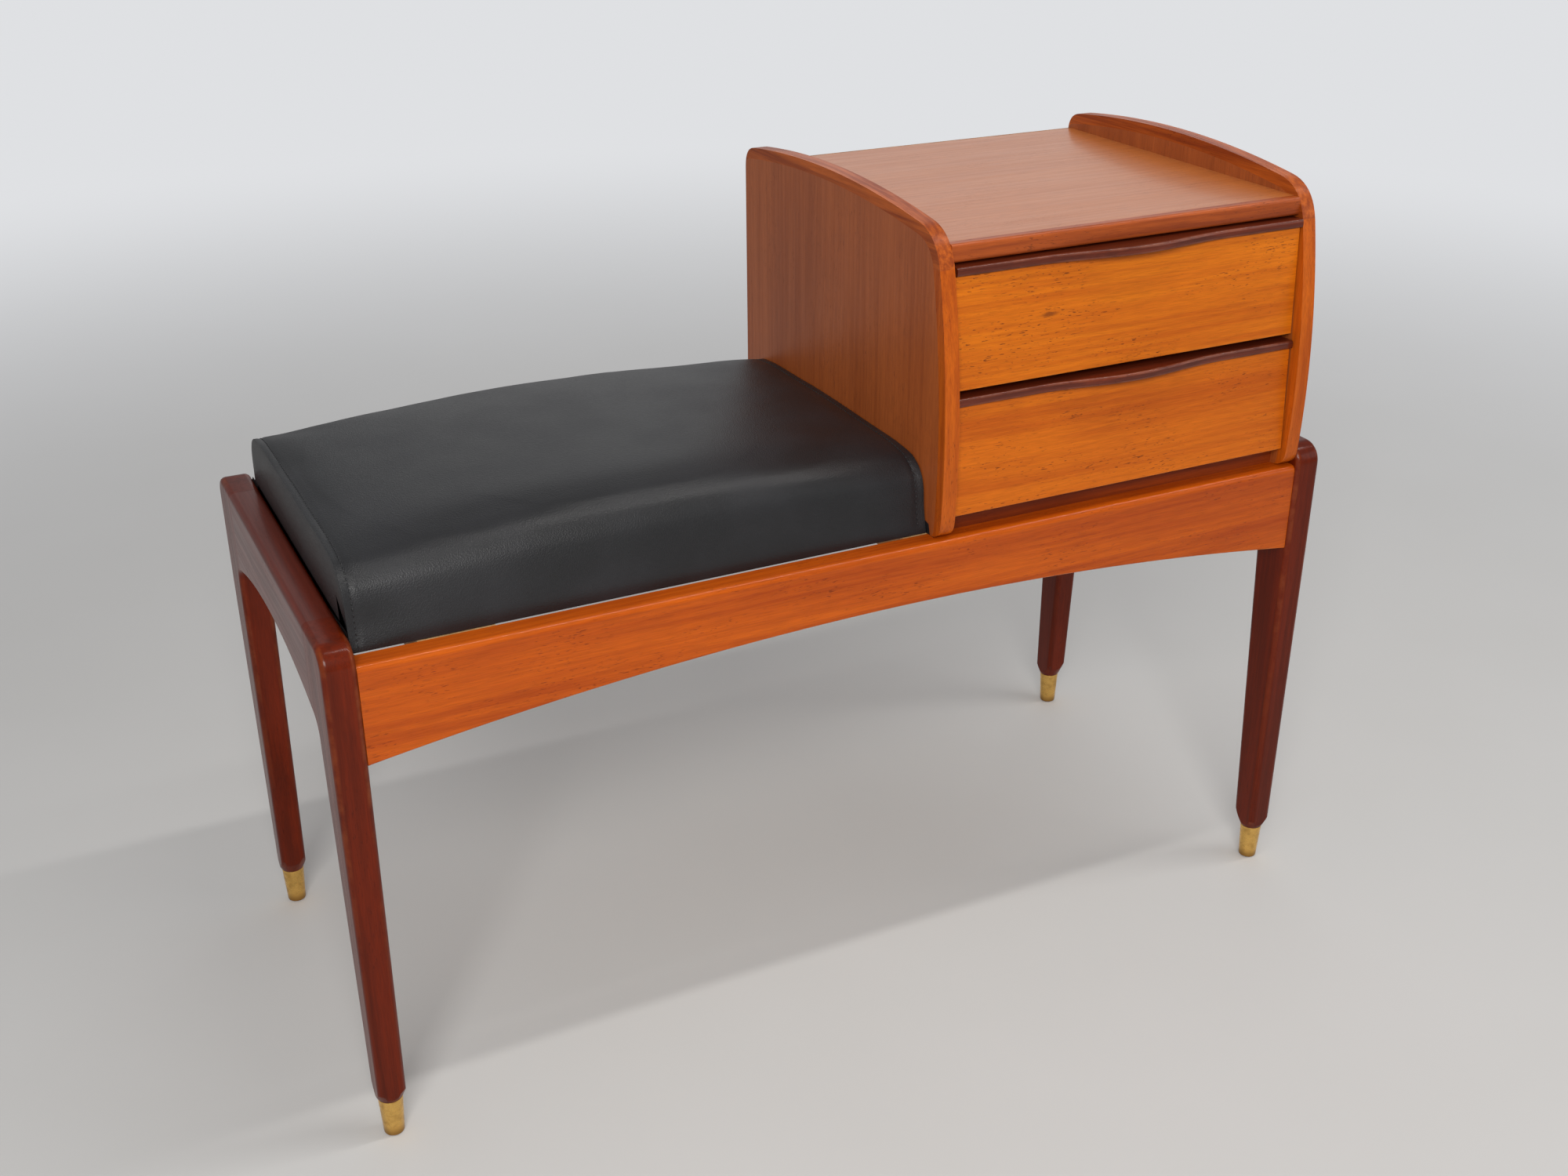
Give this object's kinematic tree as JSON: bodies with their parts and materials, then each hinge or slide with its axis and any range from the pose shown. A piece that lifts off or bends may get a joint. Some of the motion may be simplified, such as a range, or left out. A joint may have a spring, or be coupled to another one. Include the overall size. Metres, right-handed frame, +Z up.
{
  "type": "telephone bench",
  "caption": "Low hallway bench with a padded seat beside a small cabinet of sliding drawers, on an arched frame with tapered legs and metal toe caps.",
  "frame": {"origin": "on the floor under the middle of the frame, at the centre of the part's base", "axes": "+X along the bench from the seat to the cabinet, +Y from front to back, +Z up"},
  "size_m": [0.912, 0.385, 0.697],
  "materials": {
    "orange_teak": "oiled satin, straight orange grain",
    "dark_teak": "oiled satin, darker red-brown grain",
    "pull_wood": "dark purple-brown hardwood, satin",
    "brass": "polished, lightly worn",
    "vinyl": "black grained vinyl over foam, soft sheen",
    "plywood": "unfinished birch plywood",
    "pale_wood": "unfinished pale hardwood",
    "steel": "zinc plated"
  },
  "bodies": {
    "bench": {"front_left_leg": "dark_teak", "front_right_leg": "dark_teak", "rear_left_leg": "dark_teak", "rear_right_leg": "dark_teak", "left_end_rail": "dark_teak", "right_end_rail": "dark_teak", "ferrules": "brass", "rail_slip_tenons": "pale_wood", "front_apron": "orange_teak", "rear_apron": "orange_teak", "left_bearer": "pale_wood", "middle_bearer": "pale_wood", "right_bearer": "pale_wood", "corner_blocks": "pale_wood", "seat_screws": "steel", "cabinet_screws": "steel", "seat_board": "plywood", "seat_cushion": "vinyl", "cabinet_left_side": "orange_teak", "left_front_lipping": "orange_teak", "left_top_lipping": "orange_teak", "cabinet_right_side": "orange_teak", "right_front_lipping": "orange_teak", "right_top_lipping": "orange_teak", "cabinet_top": "orange_teak", "top_front_lipping": "orange_teak", "cabinet_back": "plywood", "cabinet_bottom": "plywood", "cabinet_bottom_rail": "dark_teak", "lower_left_runner": "pale_wood", "lower_right_runner": "pale_wood", "upper_left_runner": "pale_wood", "upper_right_runner": "pale_wood"},
    "upper_drawer": {"upper_drawer_front": "orange_teak", "upper_drawer_pull": "pull_wood", "upper_drawer_left_side": "pale_wood", "upper_drawer_right_side": "pale_wood", "upper_drawer_back": "pale_wood", "upper_drawer_bottom": "plywood"},
    "lower_drawer": {"lower_drawer_front": "orange_teak", "lower_drawer_pull": "pull_wood", "lower_drawer_left_side": "pale_wood", "lower_drawer_right_side": "pale_wood", "lower_drawer_back": "pale_wood", "lower_drawer_bottom": "plywood"}
  },
  "joints": [
    {"name": "upper_drawer_slide", "type": "slide", "parent": "bench", "child": "upper_drawer", "axis": [0, -1, 0], "range_m": [0, 0.24]},
    {"name": "lower_drawer_slide", "type": "slide", "parent": "bench", "child": "lower_drawer", "axis": [0, -1, 0], "range_m": [0, 0.24]}
  ]
}
